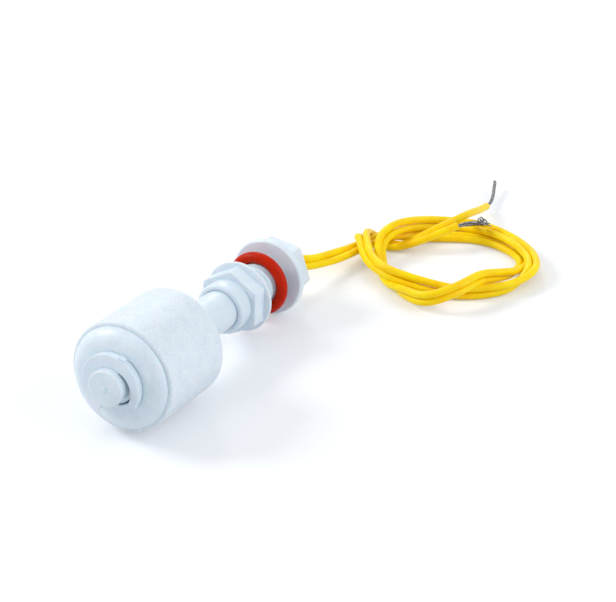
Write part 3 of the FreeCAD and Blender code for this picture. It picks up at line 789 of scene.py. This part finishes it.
class MakeWires(bpy.types.Operator):
    """Two loosely coiled wires with their bare strands"""

    bl_idname = "floatswitch.wires"
    bl_label = "Wires"

    def execute(self, context):
        wire = settings().wire
        for name, side, lead, wrap, end, nodes in (
            ("wire_upper", 1, UPPER_LEAD, UPPER_WRAP, UPPER_END,
             ["wire_upper_lead", "wire_coil", "wire_upper_end"]),
            ("wire_lower", -1, LOWER_LEAD, LOWER_WRAP, LOWER_END,
             ["wire_lower_lead", "wire_coil", "wire_lower_end"]),
        ):
            exit_point = SWITCH @ Vector((PLUG_REAR, 0, side * wire.offset))
            straight = SWITCH @ Vector((HEAD_END + STRAIGHT_EXIT, 0, side * wire.offset))
            route = [exit_point, straight] + from_head(lead)
            route += coil_turn(FIRST_TURN, side) + coil_turn(SECOND_TURN, side)
            route += from_head(wrap) + from_head(end)
            piece = cord_curve(name, [route], wire.radius, bpy.data.materials["wire_insulation"], 5)
            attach(piece, "stem")
            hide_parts(*nodes)
            strands = self.strands(name, end[-1], wire)
        return {"FINISHED"}

    @staticmethod
    def strands(name, start, wire):
        """Bare strands that fan out from the end of a wire."""
        route, fray, curl = STRANDS[name]
        routes = []
        for k in range(STRAND_COUNT):
            angle = math.tau * k / (STRAND_COUNT - 1)
            inner = 0.0 if k == 0 else wire.core_radius - wire.strand_radius
            points = []
            for i, (x, y, z) in enumerate(route):
                reach = i / (len(route) - 1)
                spread = inner + (fray * reach * (0.5 + 0.5 * math.sin(3 * k + 1)) if k else 0.0)
                swirl = angle + curl * reach * (1 + 0.4 * math.sin(5 * k))
                points.append((x, y + spread / MM * math.cos(swirl),
                               max(z + spread / MM * math.sin(swirl), LOWEST_STRAND)))
            if fray > wire.radius and k % 3 == 1:
                x, y, z = points[-1]
                points += [(x + dx, y + dy, z + dz) for dx, dy, dz in STRAND_HOOK]
            routes.append(from_head(points))
        bundle = name.replace("wire", "strands")
        piece = cord_curve("bare_" + bundle, routes, wire.strand_radius,
                           bpy.data.materials["tinned_strands"], 2)
        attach(piece, "stem")
        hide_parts(bundle)
        return piece


class MakeStage(bpy.types.Operator):
    """Floor, world, lamps and camera"""

    bl_idname = "floatswitch.stage"
    bl_label = "Stage"

    def execute(self, context):
        scene = context.scene
        scene.view_settings.view_transform = "Standard"
        self.floor()
        self.world(scene)
        for name, place, width, power, shade in LAMPS:
            data = bpy.data.lights.new(name, "AREA")
            data.shape = "DISK"
            data.size = width
            data.energy = power
            data.color = shade
            lamp = bpy.data.objects.new(name, data)
            lamp.matrix_world = aimed(STAGE_MIDDLE + Vector(place), STAGE_MIDDLE)
            scene.collection.objects.link(lamp)
        data = bpy.data.cameras.new("camera")
        data.sensor_width = 36.0
        data.lens = CAMERA_LENS
        data.clip_start = 0.01
        camera = bpy.data.objects.new("camera", data)
        turn, dip = math.radians(CAMERA_TURN), math.radians(CAMERA_DIP)
        level = math.cos(dip)
        ahead = Vector((level * math.cos(turn), level * math.sin(turn), -math.sin(dip)))
        camera.matrix_world = aimed(CAMERA_PLACE, CAMERA_PLACE + ahead)
        scene.collection.objects.link(camera)
        scene.camera = camera
        return {"FINISHED"}

    @staticmethod
    def floor():
        bm = bmesh.new()
        bmesh.ops.create_grid(bm, x_segments=1, y_segments=1, size=FLOOR_SIZE)
        mesh = bpy.data.meshes.new("floor")
        bm.to_mesh(mesh)
        bm.free()
        floor = bpy.data.objects.new("floor", mesh)
        bpy.context.scene.collection.objects.link(floor)
        material = bpy.data.materials.new("floor_sheet")
        material.use_nodes = True
        tree = material.node_tree
        surface = tree.nodes["Principled BSDF"]
        surface.inputs["Base Color"].default_value = (*settings().finishes.floor, 1)
        surface.inputs["Roughness"].default_value = 0.9
        surface.inputs["Specular IOR Level"].default_value = 0.0
        surface.inputs["Emission Color"].default_value = (1, 1, 1, 1)
        tree.links.new(seen_directly(tree, FLOOR_GLOW), surface.inputs["Emission Strength"])
        mesh.materials.append(material)

    @staticmethod
    def world(scene):
        world = bpy.data.worlds.new("studio")
        world.use_nodes = True
        scene.world = world
        tree = world.node_tree
        sky = tree.nodes["Background"]
        sky.inputs["Color"].default_value = (*SKY_COLOUR, 1)
        tree.links.new(seen_directly(tree, 1.0 - SKY_LEVEL, SKY_LEVEL), sky.inputs["Strength"])


def seen_directly(tree, extra, base=0.0):
    """Base level, with the extra where a camera, glossy or transmitted ray meets the surface."""
    rays = node(tree, "ShaderNodeLightPath", (-900, -300))
    total = None
    for label in ("Is Camera Ray", "Is Glossy Ray", "Is Transmission Ray"):
        if total is None:
            total = rays.outputs[label]
            continue
        either = node(tree, "ShaderNodeMath", (-700, -300), operation="MAXIMUM")
        tree.links.new(total, either.inputs[0])
        tree.links.new(rays.outputs[label], either.inputs[1])
        total = either.outputs[0]
    level = node(tree, "ShaderNodeMath", (-500, -300), operation="MULTIPLY_ADD")
    tree.links.new(total, level.inputs[0])
    level.inputs[1].default_value = extra
    level.inputs[2].default_value = base
    return level.outputs[0]


def aimed(place, target):
    """Matrix of a lamp or camera that looks at a point, upright."""
    back = (Vector(place) - Vector(target)).normalized()
    right = Vector((0, 0, 1)).cross(back).normalized()
    turn = Matrix((right, back.cross(right), back)).transposed()
    return Matrix.Translation(place) @ turn.to_4x4()


# ---------------------------------------------------------------- curves

def from_head(points):
    """Points from the middle of the head's end face, in the frame's metres."""
    foot = (SWITCH @ Vector((HEAD_END, 0, 0))).x
    return [Vector((foot + x * MM, y * MM, z * MM)) for x, y, z in points]


def coil_turn(stations, side):
    points = []
    for k, (radius, height, roll) in enumerate(stations):
        angle = math.radians(COIL_START - k * COIL_STEP)
        radius += side * PAIR_OFFSET * math.cos(math.radians(roll))
        height += side * PAIR_OFFSET * math.sin(math.radians(roll))
        points.append((COIL_PLACE[0] + radius * math.cos(angle),
                       COIL_PLACE[1] + radius * math.sin(angle), height))
    return from_head(points)


def cord_curve(name, routes, radius, material, roundness):
    """A curve of one smooth open spline through each route's control points."""
    data = bpy.data.curves.new(name, "CURVE")
    data.dimensions = "3D"
    data.bevel_depth = radius
    data.bevel_resolution = roundness
    data.use_fill_caps = True
    data.resolution_u = 10
    for route in routes:
        spline = data.splines.new("NURBS")
        spline.points.add(len(route) - 1)
        for point, place in zip(spline.points, route):
            point.co = (*place, 1.0)
        spline.order_u = 3
        spline.use_endpoint_u = True
        spline.use_smooth = True
    data.materials.append(material)
    piece = bpy.data.objects.new(name, data)
    bpy.context.scene.collection.objects.link(piece)
    return piece


# ---------------------------------------------------------------- add-on

class FloatSwitchSettings(bpy.types.PropertyGroup):
    stem: PointerProperty(type=StemSizes)
    clip: PointerProperty(type=ClipSizes)
    float: PointerProperty(type=FloatSizes)
    nut: PointerProperty(type=NutSizes)
    wire: PointerProperty(type=WireSizes)
    finishes: PointerProperty(type=Finishes)


OPERATORS = (PrepareFinishes, MakeStem, MakeClip, MakeFloat, MakeNut, MakeSeals,
             FinishSealedPieces, MakeWires, MakeStage)


class FloatSwitchPanel(bpy.types.Panel):
    """Steps that dress the switch"""

    bl_idname = "VIEW3D_PT_float_switch"
    bl_label = "Float switch"
    bl_space_type = "VIEW_3D"
    bl_region_type = "UI"
    bl_category = "Float switch"

    def draw(self, context):
        for operator in OPERATORS:
            self.layout.operator(operator.bl_idname)
        for group in ("stem", "clip", "float", "nut", "wire", "finishes"):
            values = getattr(context.scene.float_switch, group)
            box = self.layout.box()
            for name in values.__annotations__:
                box.prop(values, name)


CLASSES = (StemSizes, ClipSizes, FloatSizes, NutSizes, WireSizes, Finishes, FloatSwitchSettings,
           *OPERATORS, FloatSwitchPanel)


def register():
    for entry in CLASSES:
        bpy.utils.register_class(entry)
    bpy.types.Scene.float_switch = PointerProperty(type=FloatSwitchSettings)


def unregister():
    del bpy.types.Scene.float_switch
    for entry in reversed(CLASSES):
        bpy.utils.unregister_class(entry)


def main():
    register()
    steps = bpy.ops.floatswitch
    steps.finishes()
    steps.stem()
    steps.clip()
    steps.float()
    steps.nut()
    steps.seals()
    steps.sealed()
    steps.wires()
    steps.stage()


if __name__ == "__main__":
    main()
